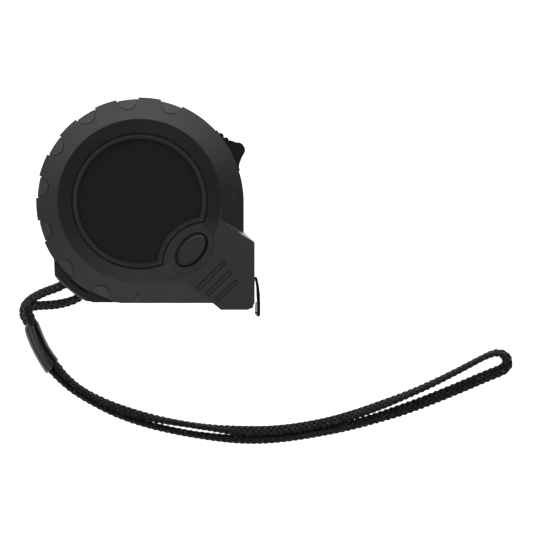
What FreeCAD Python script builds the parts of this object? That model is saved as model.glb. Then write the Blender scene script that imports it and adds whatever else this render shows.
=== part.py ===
"""Pocket tape measure, 5 m x 19 mm, lying on its belt clip.

Millimetres.  Row frame: +X out of the blade's mouth, +Y from the flat base to the
top of the case, +Z from the belt clip to the label side.  The pieces are drawn about
the spool's axis and placed in the row frame by FRAME.
"""
import FreeCAD, Part
import math
import os
import re

import Sketcher
from FreeCAD import Placement, Rotation, Vector

os.makedirs("parts", exist_ok=True)
doc = FreeCAD.newDocument("tape_measure")
sheet = doc.addObject("Spreadsheet::Sheet", "Dims")

# Driving dimensions, measured from the spool's axis.
DIMENSIONS = {
    # case and rubber grips
    "mid": 23.8, "crest_half": 18.0, "rim_half": 13.2, "band_half": 6.0,
    "case_radius": 36.0, "bevel": 7.6, "band_radius": 35.4, "shell_radius": 34.4,
    "notch_deep": 0.5, "notch_reach": 4.2, "notch_span": 3.9, "notch_first": 72.0,
    "notch_turn": 25.0, "notch_step": 0.45, "notch_fall": 0.6, "notches": 10,
    "notch_line": 0.3,
    "dish_deep": 2.1, "label_radius": 21.6, "frame_wide": 2.0,
    "pod_x": 23.5, "pod_y": -22.8, "pod_radius": 17.4, "face_deep": 3.0, "wall": 1.8,
    "cavity_radius": 32.4, "base_y": -35.4, "shell_shoulder": 31.0,
    # nose
    "nose_front": 39.8, "nose_bottom": -37.7, "nose_corner": 2.8, "nose_draft": 6.0,
    "slot_wide": 1.5, "slot_deep": 0.6,
    # heel and strap anchor
    "heel_half": 11.8, "pin_x": -22.4, "pin_y": -29.7, "pin_radius": 2.0,
    "strap_height": 14.6, "groove_tall": 3.4,
    # spool, blade and power spring
    "axle_radius": 5.0, "running": 0.05, "flange_radius": 29.0, "flange_thick": 0.8,
    "drum_radius": 23.6, "drum_wall": 1.8, "pack_radius": 28.0, "blade_wide": 19.0,
    "blade_thick": 0.14, "blade_crown": 1.2, "blade_y": -28.1, "lead_start": 8.2,
    "washer_radius": 8.5,
    # hook
    "hook_thick": 0.9, "hook_wide": 20.0, "rivet_radius": 1.2, "rivet_gap": 4.2,
    "hook_play": 1.0,
    # thumb lock
    "arm_low": 29.9, "arm_high": 31.9, "arm_wide": 4.6,
    "lock_wide": 10.8, "plate_thick": 1.0,
    # brake button
    "button_x": 18.0, "button_y": -16.9, "button_turn": 48.7, "opening_long": 7.15,
    "opening_short": 4.5, "button_long": 6.6, "button_short": 3.9, "button_shift": 0.25,
    # belt clip and screws
    "clip_wide": 20.0, "clip_thick": 1.0, "clip_bend": 4.4, "clip_top": 18.4,
    "screw_radius": 1.25, "head_radius": 2.2, "boss_ring": 31.7,
    # cord
    "cord_radius": 1.3,
}
for row, (name, number) in enumerate(DIMENSIONS.items(), start=1):
    sheet.set(f"A{row}", name)
    sheet.set(f"B{row}", str(number))
    sheet.setAlias(f"B{row}", name)
doc.recompute()
D = {name: float(sheet.get(name)) for name in DIMENSIONS}

# The spool's axis in the row frame: it centres the object's box on X and Y.
FRAME = Placement(Vector(-2.9, 2.05, 0), Rotation())
NODES = {}


# ---------------------------------------------------------------- building blocks

def linked(expression):
    """The expression with every driving dimension read from the sheet."""
    return re.sub(r"[a-z_]+", lambda word: f"Dims.{word[0]}" if word[0] in D else word[0], str(expression))


def value(expression):
    return float(sheet.evalExpression(linked(expression)))


def bind(thing, **sizes):
    for key, expression in sizes.items():
        thing.setExpression(key.replace("__", "."), linked(expression))
    return thing


def plane(body, role):
    return next(item for item in body.Origin.OriginFeatures if item.Role == role)


def new_sketch(body, role, lift="0"):
    sketch = body.newObject("Sketcher::SketchObject", body.Name + "_sketch")
    sketch.AttachmentSupport = [(plane(body, role), "")]
    sketch.MapMode = "FlatFace"
    return bind(sketch, AttachmentOffset__Base__z=lift)


def outline(sketch, corners):
    """A closed polygon whose corners, pairs of expressions, are bound to the sheet."""
    points = [Vector(value(x), value(y), 0) for x, y in corners]
    for start, end in zip(points, points[1:] + points[:1]):
        sketch.addGeometry(Part.LineSegment(start, end), False)
    count = len(points)
    for i in range(count):
        sketch.addConstraint(Sketcher.Constraint("Coincident", i, 2, (i + 1) % count, 1))
    for i, (x, y) in enumerate(corners):
        for kind, expression, number in (("DistanceX", x, points[i].x), ("DistanceY", y, points[i].y)):
            index = sketch.addConstraint(Sketcher.Constraint(kind, -1, 1, i, 1, number))
            sketch.setExpression(f"Constraints[{index}]", linked(expression))


def prism(name, corners, low, high, role="XY_Plane"):
    """A polygon padded from low to high along the plane's normal."""
    body = doc.addObject("PartDesign::Body", name)
    sketch = new_sketch(body, role, low)
    outline(sketch, corners)
    pad = body.newObject("PartDesign::Pad", name + "_pad")
    pad.Profile = sketch
    bind(pad, Length=f"{high} - ( {low} )")
    return body


def turned(name, profile):
    """A polygon of (radius, height) pairs turned about the spool's axis."""
    body = doc.addObject("PartDesign::Body", name)
    sketch = new_sketch(body, "XZ_Plane")
    outline(sketch, profile)
    turn = body.newObject("PartDesign::Revolution", name + "_turn")
    turn.Profile = sketch
    turn.ReferenceAxis = (sketch, ["V_Axis"])
    turn.Angle = 360
    return body


def cylinder(name, radius, low, high, x="0", y="0"):
    rod = doc.addObject("Part::Cylinder", name)
    return bind(rod, Radius=radius, Height=f"{high} - ( {low} )", Placement__Base__x=x,
                Placement__Base__y=y, Placement__Base__z=low)


def box(name, x, y, z):
    """A box between pairs of expressions on X, Y and Z."""
    block = doc.addObject("Part::Box", name)
    return bind(block, Length=f"{x[1]} - ( {x[0]} )", Width=f"{y[1]} - ( {y[0]} )",
                Height=f"{z[1]} - ( {z[0]} )", Placement__Base__x=x[0],
                Placement__Base__y=y[0], Placement__Base__z=z[0])


def oval(name, long, short, low, high, x, y):
    """An elliptical prism lying along the brake button's axis."""
    edge = doc.addObject("Part::Ellipse", name + "_edge")
    bind(edge, MajorRadius=long, MinorRadius=short)
    edge.Placement = Placement(Vector(0, 0, 0), Rotation(Vector(0, 0, 1), D["button_turn"]))
    bind(edge, Placement__Base__x=x, Placement__Base__y=y, Placement__Base__z=low)
    solid = doc.addObject("Part::Extrusion", name)
    solid.Base = edge
    solid.DirMode = "Custom"
    solid.Dir = Vector(0, 0, 1)
    solid.Solid = True
    return bind(solid, LengthFwd=f"{high} - ( {low} )")


def fuse(name, *things):
    joined = doc.addObject("Part::MultiFuse", name)
    joined.Shapes = list(things)
    joined.Refine = True
    return joined


def common(name, *things):
    """What all the things share."""
    made = doc.addObject("Part::MultiCommon", name)
    made.Shapes = list(things)
    return made


def cut(name, base, *tools):
    """The base less all the tools."""
    result = doc.addObject("Part::Cut", name)
    result.Base = base
    result.Tool = tools[0] if len(tools) == 1 else fuse(name + "_tools", *tools)
    result.Refine = True
    return result


def mirrored(name, source):
    """The source turned over about the case's middle plane."""
    mirror = doc.addObject("Part::Mirroring", name)
    mirror.Source = source
    mirror.Normal = Vector(0, 0, 1)
    return bind(mirror, Base__z="mid")


def rounded(name, base, radius, wanted):
    """The base with the edges that wanted() picks rounded."""
    doc.recompute()
    picked = [i for i, edge in enumerate(base.Shape.Edges, start=1) if wanted(edge)]
    fillet = doc.addObject("Part::Fillet", name)
    fillet.Base = base
    fillet.Edges = [(i, radius, radius) for i in picked]
    doc.recompute()
    if not picked or not fillet.Shape.isValid() or fillet.Shape.Volume < 0.5 * base.Shape.Volume:
        raise ValueError(f"{name}: rounding {len(picked)} edges failed")
    return fillet


def node(name, thing):
    """Names a finished piece and places it in the row frame."""
    if any("Placement" in path for path, _ in thing.ExpressionEngine):
        holder = doc.addObject("Part::Compound", name + "_placed")
        holder.Links = [thing]
        thing = holder
    thing.Label = name
    doc.recompute()
    thing.Placement = FRAME.multiply(thing.Placement)
    NODES[name] = thing
    return thing


def polar(radius, degrees):
    angle = math.radians(degrees)
    return radius * math.cos(angle), radius * math.sin(angle)


# ---------------------------------------------------------------- case outlines

FRONT = {"face": "mid + crest_half - face_deep", "rim": "mid + rim_half",
         "crest": "mid + crest_half", "band": "mid + band_half"}
POD = ("pod_x", "pod_y")


def nose_corners(inset, draft="0"):
    """The nose seen from the label side, drawn in by inset; draft leans its upper side."""
    return [
        ("14", "-22"),
        (f"28.6 - {inset}", f"-3.4 - {inset} - {draft} * 0.62"),
        (f"36.2 - {inset}", f"-10.9 - {inset} - {draft} * 0.2"),
        (f"nose_front - {inset}", f"-14.2 - {inset}"),
        (f"nose_front - {inset}", f"nose_bottom + {inset}"),
        (f"28.2 + {inset} * 0.4", f"nose_bottom + {inset}"),
        (f"25.2 + {inset} * 0.4", f"-35.2 + {inset}"),
        (f"16.2 + {inset} * 0.4", f"-29.0 + {inset}"),
    ]


def shell_solid():
    """The front half of the hard case before it is hollowed."""
    drum = turned("shell_drum", [
        ("0", "mid"), ("band_radius", "mid"), ("band_radius", FRONT["band"]),
        ("shell_radius", FRONT["band"]), ("shell_radius", "mid + rim_half - 1"),
        ("shell_shoulder", FRONT["face"]), ("0", FRONT["face"])])
    base_band = box("shell_base_band", ("-17", "27"), ("base_y + 0.2", "-20"), ("mid", FRONT["band"]))
    base = box("shell_base", ("-17", "27"), ("base_y + 1.2", "-20"), ("mid", "mid + rim_half - 1.5"))
    cheek_band = box("shell_cheek_band", ("20", "band_radius"), ("-16", "0"), ("mid", FRONT["band"]))
    cheek = box("shell_cheek", ("20", "shell_radius"), ("-16", "0"), ("mid", "mid + rim_half - 1"))
    heel = prism("shell_heel", [
        ("-30.0", "-18"), ("-29.6", "-26.0"), ("-27.4", "-28.6"), ("-21.9", "-33.0"),
        ("-18.6", "-34.8"), ("-9.6", "base_y + 0.2"), ("-6", "-20")], "mid", "mid + heel_half")
    nose_band = prism("shell_nose_band", nose_corners("0.5"), "mid", FRONT["band"])
    nose = prism("shell_nose", nose_corners("1.6"), "mid", "mid + crest_half - 2.2")
    return fuse("shell_solid", drum, base_band, base, cheek_band, cheek, heel, nose_band, nose)


def notch_columns(name, inset):
    """Upright half-oval columns at the notches, drawn in by an inset."""
    columns = []
    for i in range(round(D["notches"])):
        edge = doc.addObject("Part::Ellipse", f"{name}_edge_{i}")
        x, y = polar(D["case_radius"] + 0.3, D["notch_first"] + i * D["notch_turn"])
        bind(edge, MajorRadius=f"notch_reach + 0.3 - {inset}", MinorRadius=f"notch_span - {inset}")
        turn = Rotation(Vector(0, 0, 1), D["notch_first"] + i * D["notch_turn"])
        edge.Placement = Placement(Vector(x, y, D["mid"]), turn)
        solid = doc.addObject("Part::Extrusion", f"{name}_{i}")
        solid.Base = edge
        solid.DirMode = "Custom"
        solid.Dir = Vector(0, 0, 1)
        solid.Solid = True
        columns.append(bind(solid, LengthFwd="crest_half + 5"))
    return columns


def notch_floor(name, step):
    """The bevelled ring a step below the grip's surface, steeper at its edge."""
    return turned(name, [
        ("0", FRONT["band"]), (f"case_radius - notch_deep - ({step}) + notch_step", FRONT["band"]),
        (f"case_radius - notch_deep - ({step}) + notch_step", f"{FRONT['rim']} - notch_fall"),
        ("case_radius - notch_reach",
         f"{FRONT['rim']} + notch_reach * (crest_half - rim_half) / bevel - ({step})"),
        ("case_radius - bevel", f"{FRONT['crest']} - ({step})"), ("0", f"{FRONT['crest']} - ({step})")])


def grip_blank(shell):
    """One rubber grip before its own openings: bevelled ring, notches and nose."""
    ring = turned("grip_ring", [
        ("0", FRONT["band"]), ("case_radius", FRONT["band"]), ("case_radius", FRONT["rim"]),
        ("case_radius - bevel", FRONT["crest"]), ("0", FRONT["crest"])])
    land = cut("grip_land", ring, *notch_columns("notch", "0"))
    pads = common("notch_pads", notch_floor("grip_floor", "notch_step"),
                  fuse("notch_middles", *notch_columns("notch_middle", "notch_line")))
    rim = fuse("grip_rim", land, pads, notch_floor("notch_groove_floor", "notch_step + notch_line"))
    below = box("grip_trim", ("-40", "40"), ("-40", "base_y"), ("mid", "mid + 30"))
    trimmed = cut("grip_trimmed", rim, below)

    def wall(name, role, edge, low, high):
        """A straight stretch of the same bevelled wall."""
        return prism(name, [
            (f"{edge} - 14", FRONT["band"]), (edge, FRONT["band"]), (edge, FRONT["rim"]),
            (f"{edge} - bevel", FRONT["crest"]), (f"{edge} - 14", FRONT["crest"])], low, high, role)

    cheek = wall("grip_cheek", "XZ_Plane", "case_radius", "0", "24")
    sole = prism("grip_sole", [
        ("base_y + 14", FRONT["band"]), ("base_y", FRONT["band"]), ("base_y", FRONT["rim"]),
        ("base_y + bevel", FRONT["crest"]), ("base_y + 14", FRONT["crest"])], "0", "28", "YZ_Plane")
    return fuse("grip_solid", trimmed, cheek, sole, grip_nose())


def grip_nose():
    """The raised block round the mouth, its upper side leaning back."""
    body = prism("grip_nose_block", nose_corners("0"), FRONT["band"], "mid + crest_half - nose_draft")
    lower = new_sketch(body, "XY_Plane", "mid + crest_half - nose_draft")
    outline(lower, nose_corners("0"))
    upper = new_sketch(body, "XY_Plane", FRONT["crest"])
    outline(upper, nose_corners("0", "nose_draft"))
    loft = body.newObject("PartDesign::AdditiveLoft", "grip_nose_loft")
    loft.Profile = lower
    loft.Sections = [upper]
    loft.Ruled = True
    body.Tip = loft
    doc.recompute()
    upright = rounded("grip_nose_corner", body, D["nose_corner"], lambda e: (
        e.BoundBox.ZLength > 4 and e.BoundBox.XLength < 0.1
        and abs(e.CenterOfMass.x - D["nose_front"]) < 0.1 and e.CenterOfMass.y < D["nose_bottom"] + 1))
    return upright


def slot_cutters():
    """Three slanted grip slots open to the nose's lower-left side."""
    ends = [((20.0, -30.8), (29.0, -21.6)), ((23.4, -32.4), (31.1, -25.1)), ((26.2, -34.6), (33.3, -28.2))]
    cutters = []
    for i, (low, high) in enumerate(ends):
        run = Vector(high[0] - low[0], high[1] - low[1], 0)
        turn = Rotation(Vector(1, 0, 0), run)
        half = D["slot_wide"] / 2
        groove = doc.addObject("Part::Box", f"grip_slot_{i}")
        bind(groove, Width="slot_wide", Height="slot_deep + 5")
        groove.Length = run.Length
        side = turn.multVec(Vector(0, -half, 0))
        top = D["mid"] + D["crest_half"] - D["slot_deep"]
        groove.Placement = Placement(Vector(low[0] + side.x, low[1] + side.y, top), turn)
        end = cylinder(f"grip_slot_end_{i}", "slot_wide / 2", "mid + crest_half - slot_deep",
                       "mid + crest_half + 5", str(high[0]), str(high[1]))
        cutters += [groove, end]
    return cutters


def label_area(name, grow, low, high):
    """The round label zone less the bite that clears the button, grown outwards."""
    disc = cylinder(name + "_disc", f"label_radius + ( {grow} )", low, high)
    bite = cylinder(name + "_bite", f"pod_radius - ( {grow} )", low, high, *POD)
    return cut(name, disc, bite)


def finished_grip(name, blank, shell, button):
    """A grip with its dish, label opening and slots, fitted over the shell."""
    dish = turned(name + "_dish", [
        ("0", f"{FRONT['crest']} - dish_deep"),
        ("label_radius + frame_wide", f"{FRONT['crest']} - dish_deep"),
        ("case_radius - bevel", FRONT["crest"]), ("case_radius - bevel", f"{FRONT['crest']} + 3"),
        ("0", f"{FRONT['crest']} + 3")])
    label = label_area(name + "_label", "frame_wide + 0.1", "mid", "mid + 30")
    tools = [dish, label, shell, mouth(name + "_mouth")] + slot_cutters()
    if button:
        tools += [
            oval(name + "_pocket", "opening_long + 2.4", "opening_short + 2.2",
                 f"{FRONT['crest']} - dish_deep + 0.3", "mid + 30", "button_x + 0.1", "button_y - 0.1"),
            oval(name + "_opening", "opening_long", "opening_short", "mid", "mid + 30",
                 "button_x", "button_y")]
    return cut(name + "_fitted", blank, *tools)


# ---------------------------------------------------------------- case pieces

PIN_FOOT = "strap_height - groove_tall / 2 - 1"
SCREWS = [polar(D["boss_ring"], 105), polar(D["boss_ring"], 195), polar(D["boss_ring"], 245), (35.0, -19.5)]


def shell_half(solid):
    """The hollowed front half with its screw posts."""
    cavity = turned("cavity", [
        ("0", "mid - 1"), ("cavity_radius", "mid - 1"), ("cavity_radius", "mid + rim_half - 2.2"),
        ("shell_shoulder - 0.8", f"{FRONT['face']} - wall"), ("0", f"{FRONT['face']} - wall")])
    channel = mouth("channel")
    lock_slot = prism("lock_slot", [
        ("29.5 * cos(12)", "29.5 * sin(12)"), ("38 * cos(12)", "38 * sin(12)"),
        ("38 * cos(33.5)", "38 * sin(33.5)"), ("29.5 * cos(33.5)", "29.5 * sin(33.5)")],
        "mid - 1", "mid + arm_wide / 2 - 0.2")
    hollow = cut("shell_hollow", solid, cavity, channel, lock_slot, lock_recess())
    posts = [cylinder(f"post_{i}", "head_radius", "mid", "mid + rim_half - 0.8", str(x), str(y))
             for i, (x, y) in enumerate(SCREWS[:3])]
    return fuse("shell_posts", hollow, *posts)


def mouth(name):
    """The blade's way out of the case, wide enough for the hook's plate."""
    return box(name, ("15", "45"), ("blade_y - 1.7", "blade_y + 3.2"),
               ("mid - 1", "mid + hook_wide / 2 + 0.5"))


def lock_recess():
    """The flat-bottomed track the thumb lock's plate slides in."""
    track = turned("lock_track", [
        ("band_radius - 0.2", "mid - 1"), ("40", "mid - 1"), ("40", "mid + lock_wide / 2 + 0.3"),
        ("band_radius - 0.2", "mid + lock_wide / 2 + 0.3")])
    sector = prism("lock_sector", [
        ("0", "0"), ("60 * cos(-3)", "60 * sin(-3)"), ("60 * cos(20)", "60 * sin(20)"),
        ("60 * cos(45)", "60 * sin(45)")], "mid - 1", "mid + 12")
    common = doc.addObject("Part::Common", "lock_recess")
    common.Base = track
    common.Tool = sector
    return common


def make_case():
    solid = shell_solid()
    half = shell_half(solid)
    blank = grip_blank(solid)
    front_holes = [cylinder(f"screw_pilot_{i}", "screw_radius", "mid - 1", "31", str(x), str(y))
                   for i, (x, y) in enumerate(SCREWS)]
    button_hole = oval("button_hole", "opening_long - 0.1", "opening_short - 0.1", "mid", "mid + 30",
                       "button_x", "button_y")
    top = "mid + heel_half"
    valley = turned("heel_valley", [
        ("case_radius - 0.1", f"{top} - 0.7"), ("case_radius + 2.9", top),
        ("case_radius + 5", f"{top} - 2.2"), ("case_radius + 5", f"{top} + 1"),
        ("case_radius - 0.1", f"{top} + 1")])
    node("front_shell", cut("front_shell_cut", half, button_hole, valley, *front_holes))
    node("front_grip", finished_grip("front", blank, solid, True))

    rear = mirrored("rear_half", half)
    groove = prism("strap_groove", [
        ("pin_x - 0.8", "pin_y + 7.3"), ("pin_x - 15.0", "pin_y - 10.5"),
        ("pin_x - 6.6", "pin_y - 17.1"), ("pin_x + 7.6", "pin_y + 0.7")],
        "strap_height - groove_tall / 2", "strap_height + groove_tall / 2")
    pocket = cylinder("pin_pocket", "pin_radius", PIN_FOOT, "mid", "pin_x", "pin_y")
    bores = [cylinder("clip_bore", "screw_radius + 0.15", "0", "mid")]
    for i, (x, y) in enumerate(SCREWS):
        bores.append(cylinder(f"screw_bore_{i}", "screw_radius + 0.1", "0", "mid + 1", str(x), str(y)))
        bores.append(cylinder(f"screw_sink_{i}", "head_radius + 0.1", "0", "11.6", str(x), str(y)))
    node("rear_shell", cut("rear_shell_cut", rear, groove, pocket, *bores))
    wells = [cylinder(f"grip_well_{i}", "head_radius + 0.3", "0", "12", str(x), str(y))
             for i, (x, y) in enumerate(SCREWS)]
    pin_gap = cylinder("pin_gap", "pin_radius + 0.2", f"{PIN_FOOT} - 0.2", "mid", "pin_x", "pin_y")
    rear_grip = mirrored("rear_grip_blank", finished_grip("rear", blank, solid, False))
    node("rear_grip", cut("rear_grip_cut", rear_grip, pin_gap, *wells))


def make_label():
    face = FRONT["face"]
    outer = label_area("frame_outer", "frame_wide", face, f"{face} + 1")
    lip = label_area("frame_lip", "frame_wide - 0.7", f"{face} + 0.6", f"{face} + 1.3")
    raised = fuse("frame_raised", outer, lip)
    inner = label_area("frame_inner", "0", face, f"{face} + 2")
    groove_sides = [label_area(f"frame_groove_{i}", grow, f"{face} + 0.5", f"{face} + 2")
                    for i, grow in enumerate(("frame_wide - 0.7", "frame_wide - 1.2"))]
    groove = cut("frame_groove", *groove_sides)
    node("label_frame", cut("frame_cut", raised, inner, groove))
    node("label_disc", label_area("disc", "-0.05", face, f"{face} + 0.45"))


def screw(name, x, y, low, high, head, recess=0.9):
    """A pan-head screw, its head low on Z, with a cross recess."""
    body = turned(name, [
        ("0", str(low)), ("head_radius - 0.5", str(low)), ("head_radius", str(low + 0.6)),
        ("head_radius", str(low + head)), ("screw_radius", str(low + head)),
        ("screw_radius", str(high - 1)), ("screw_radius * 0.4", str(high)), ("0", str(high))])
    arms = [box(f"{name}_arm_{i}", (f"-{a}", a), (f"-{b}", b), (str(low - 1), str(low + recess)))
            for i, (a, b) in enumerate((("1.2", "0.25"), ("0.25", "1.2")))]
    made = cut(name + "_cut", body, *arms)
    made.Placement = Placement(Vector(x, y, 0), Rotation())
    return made


def make_fasteners():
    screws = [screw(f"case_screw_{i}", x, y, 10.0, 30.6, 1.6) for i, (x, y) in enumerate(SCREWS)]
    group = doc.addObject("Part::Compound", "case_screw_group")
    group.Links = screws
    node("case_screws", group)
    node("clip_screw", screw("clip_screw_blank", 0, 0, 6.2, 20.0, 1.6))
    pin = cylinder("strap_pin_rod", "pin_radius", PIN_FOOT, "mid", "pin_x", "pin_y")
    node("strap_pin", pin)


def make_belt_clip():
    """A spring-steel strip, screwed down, turned back on itself and flared at its tip."""
    inner, outer = D["clip_bend"] - D["clip_thick"], D["clip_bend"]
    level, top, thick = 2 * D["clip_bend"], D["clip_top"], D["clip_thick"]

    def point(y, z):
        return Vector(-D["clip_wide"] / 2, y, z)

    def line(a, b):
        return Part.LineSegment(point(*a), point(*b)).toShape()

    def bend(radius):
        return Part.Arc(point(top, outer + radius), point(top + radius, outer),
                        point(top, outer - radius)).toShape()

    bump, tip = -19.0, -25.5
    edges = [
        line((-8, level), (top, level)), bend(outer), line((top, 0), (-12, 0)),
        line((-12, 0), (bump, 1.2)), line((bump, 1.2), (tip, 0)), line((tip, 0), (tip, thick)),
        line((tip, thick), (bump, 1.2 + thick)), line((bump, 1.2 + thick), (-12, thick)),
        line((-12, thick), (top, thick)), bend(inner), line((top, level - thick), (-8, level - thick)),
        line((-8, level - thick), (-8, level))]
    face = Part.Face(Part.Wire(Part.__sortEdges__(edges)))
    strip = doc.addObject("Part::Feature", "clip_strip")
    strip.Shape = face.extrude(Vector(D["clip_wide"], 0, 0))
    hole = cylinder("clip_hole", "screw_radius + 0.15", "5", "12")
    access = cylinder("clip_access", "head_radius + 0.8", "-1", "4")
    corners = rounded("clip_rounded", strip, 4.0, lambda e: (
        e.BoundBox.YLength < 0.01 and e.BoundBox.XLength < 0.01 and e.BoundBox.ZLength > 0.5
        and e.CenterOfMass.y < -7))
    node("belt_clip", cut("clip_cut", corners, hole, access))


# ---------------------------------------------------------------- spool and blade

BLADE_LOW, BLADE_HIGH = "mid - blade_wide / 2", "mid + blade_wide / 2"


def make_spool():
    bore = "axle_radius + running"
    top, bottom = f"{BLADE_HIGH} + 0.1", f"{BLADE_LOW} - 0.1"
    node("spool", turned("spool_body", [
        (bore, f"{top} + flange_thick"), ("flange_radius", f"{top} + flange_thick"), ("flange_radius", top),
        ("drum_radius", top), ("drum_radius", BLADE_LOW), ("drum_radius - drum_wall", BLADE_LOW),
        ("drum_radius - drum_wall", top), (bore, top)]))
    lip = "drum_radius - drum_wall - 0.05"
    node("spool_cover", turned("spool_cover_body", [
        (bore, f"{bottom} - flange_thick"), ("flange_radius", f"{bottom} - flange_thick"),
        ("flange_radius", bottom), (lip, bottom), (lip, f"{bottom} + 1"), (f"{lip} - 1", f"{bottom} + 1"),
        (f"{lip} - 1", bottom), (bore, bottom)]))
    node("tape_coil", turned("tape_coil_body", [
        ("drum_radius + 0.05", BLADE_LOW), ("pack_radius", BLADE_LOW), ("pack_radius", BLADE_HIGH),
        ("drum_radius + 0.05", BLADE_HIGH)]))
    axle = turned("axle_body", [
        ("0", "10.6"), ("axle_radius", "10.6"), ("axle_radius", "37"), ("0", "37")])
    slit = box("axle_slit", ("-0.3", "0.3"), ("0", "8"), ("15", "33"))
    pilot = cylinder("axle_pilot", "screw_radius", "10", "20.5")
    node("spring_axle", cut("axle_cut", axle, slit, pilot))
    for name, low, high in (("front_washer", f"{top} + flange_thick + running", "36.95"),
                            ("rear_washer", "10.65", f"{bottom} - flange_thick - running")):
        node(name, turned(name + "_body", [
            ("axle_radius + 0.02", low), ("washer_radius", low), ("washer_radius", high),
            ("axle_radius + 0.02", high)]))


def make_power_spring():
    """A flat spiral of half turns about two centres, from the axle out to the drum."""
    thick, pitch, start, halves = 0.4, 1.5, 6.6, 19
    low, high = D["mid"] - 8.0, D["mid"] + 8.0
    sides = []
    for side in (-thick / 2, thick / 2):
        edges = []
        for k in range(halves):
            flip = 1 if k % 2 == 0 else -1
            centre = 0 if k % 2 == 0 else pitch / 2
            radius = start + k * pitch / 2 + side
            points = [Vector(centre + flip * radius, 0, low), Vector(centre, flip * radius, low),
                      Vector(centre - flip * radius, 0, low)]
            edges.append(Part.Arc(*points).toShape())
        sides.append(edges)
    ends = [Part.LineSegment(sides[0][i].Vertexes[v].Point, sides[1][i].Vertexes[v].Point).toShape()
            for i, v in ((0, 0), (-1, -1))]
    wire = Part.Wire(Part.__sortEdges__(sides[0] + sides[1] + ends))
    ribbon = doc.addObject("Part::Feature", "power_spring_ribbon")
    ribbon.Shape = Part.Face(wire).extrude(Vector(0, 0, high - low))
    node("power_spring", ribbon)


def blade_arc():
    """Radius and centre height of the crowned blade's cross-section."""
    half, crown = D["blade_wide"] / 2, D["blade_crown"]
    radius = (half * half + crown * crown) / (2 * crown)
    return radius, D["blade_y"] + radius


def crowned(name, low, high, half_wide, start, end):
    """A strip along X whose section is an arc, low and high measured above the blade."""
    radius, centre = blade_arc()

    def arc(r, reach):
        rise = centre - math.sqrt(r * r - reach * reach)
        ends = [Vector(start, rise, D["mid"] + side * reach) for side in (-1, 1)]
        return Part.Arc(ends[0], Vector(start, centre - r, D["mid"]), ends[1]), ends

    lower, (a, b) = arc(radius - low, half_wide)
    upper, (c, d) = arc(radius - high, half_wide)
    edges = [lower.toShape(), Part.LineSegment(b, d).toShape(),
             upper.toShape(), Part.LineSegment(c, a).toShape()]
    strip = doc.addObject("Part::Feature", name)
    strip.Shape = Part.Face(Part.Wire(Part.__sortEdges__(edges))).extrude(Vector(end - start, 0, 0))
    return strip


def across_blade(name, side, radius, low, high, x):
    """A cylinder square to the crowned blade, low and high measured above it."""
    arc, centre = blade_arc()
    lean = math.asin(D["rivet_gap"] / arc) * side
    rod = doc.addObject("Part::Cylinder", name)
    rod.Radius = radius
    rod.Height = high - low
    up = Vector(0, math.cos(lean), -math.sin(lean))
    foot = Vector(x, centre, D["mid"]) - up * (arc - low)
    rod.Placement = Placement(foot, Rotation(Vector(0, 0, 1), up))
    return rod


RIVET_X = 34.4


def make_blade():
    holes = [across_blade(f"blade_hole_{i}", side, D["rivet_radius"], -1, 1, RIVET_X)
             for i, side in enumerate((-1, 1))]
    strip = crowned("blade_strip", 0, D["blade_thick"], D["blade_wide"] / 2, D["lead_start"], 39.6)
    node("tape_blade", cut("blade_cut", strip, *holes))
    rivets = []
    for i, side in enumerate((-1, 1)):
        shank = across_blade(f"rivet_shank_{i}", side, D["rivet_radius"], -0.4, 1.5, RIVET_X)
        tail = across_blade(f"rivet_tail_{i}", side, 1.9, -0.45, 0, RIVET_X)
        head = across_blade(f"rivet_head_{i}", side, 1.9, 1.25, 1.7, RIVET_X)
        rivets.append(fuse(f"rivet_{i}", shank, tail, head))
    group = doc.addObject("Part::Compound", "rivet_group")
    group.Links = rivets
    node("hook_rivets", group)


def make_hook():
    """The sliding end hook: a crowned plate over the blade and a bowed leg in front."""
    low, high = 0.2, 0.2 + D["hook_thick"]
    plate = crowned("hook_plate", low, high, 7.2, 32.2, 40.6)
    slots = []
    for i, side in enumerate((-1, 1)):
        ends = [across_blade(f"hook_slot_{i}_{j}", side, D["rivet_radius"] + 0.05, -1, 3, RIVET_X - shift)
                for j, shift in enumerate((0, D["hook_play"] / 2, D["hook_play"]))]
        slots += ends
    leg_front = [("40.15", "-26.2"), ("40.7", "-26.6"), ("41.1", "-28.2"), ("41.45", "-30.2"),
                 ("41.7", "-32.7"), ("41.82", "-36"), ("41.8", "-39.6"), ("41.5", "-40.1")]
    leg_back = [("40.9", "-40.1"), ("40.7", "-36"), ("40.5", "-33"), ("40.4", "-30"), ("40.15", "-28.2")]
    leg = prism("hook_leg", leg_front + leg_back, "mid - hook_wide / 2", "mid + hook_wide / 2")
    wings = []
    for side, low, high in (("front", "mid + hook_wide / 2 - 0.8", "mid + hook_wide / 2"),
                            ("rear", "mid - hook_wide / 2", "mid - hook_wide / 2 + 0.8")):
        wing = prism(f"hook_wing_{side}", [
            ("40.05", "-35.2"), ("40.95", "-34.8"), ("41.2", "-40.05"), ("40.4", "-40.0"), ("39.9", "-39.0"),
            ("39.9", "-37.9")], low, high)
        dimple = cylinder(f"hook_dot_{side}", "0.3", low, high, "40.4", "-38.8")
        wings.append(cut(f"hook_wing_hole_{side}", wing, dimple))
    node("end_hook", cut("hook_cut", fuse("hook_solid", plate, leg, *wings), *slots))


def make_mouth_guide():
    """A wear strip under the blade at the mouth."""
    node("mouth_guide", box("mouth_guide_bar", ("31.5", "39.0"), ("blade_y - 1.7", "blade_y - 0.75"),
                            ("mid - blade_wide / 2", "mid + blade_wide / 2")))


# ---------------------------------------------------------------- thumb lock

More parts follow.
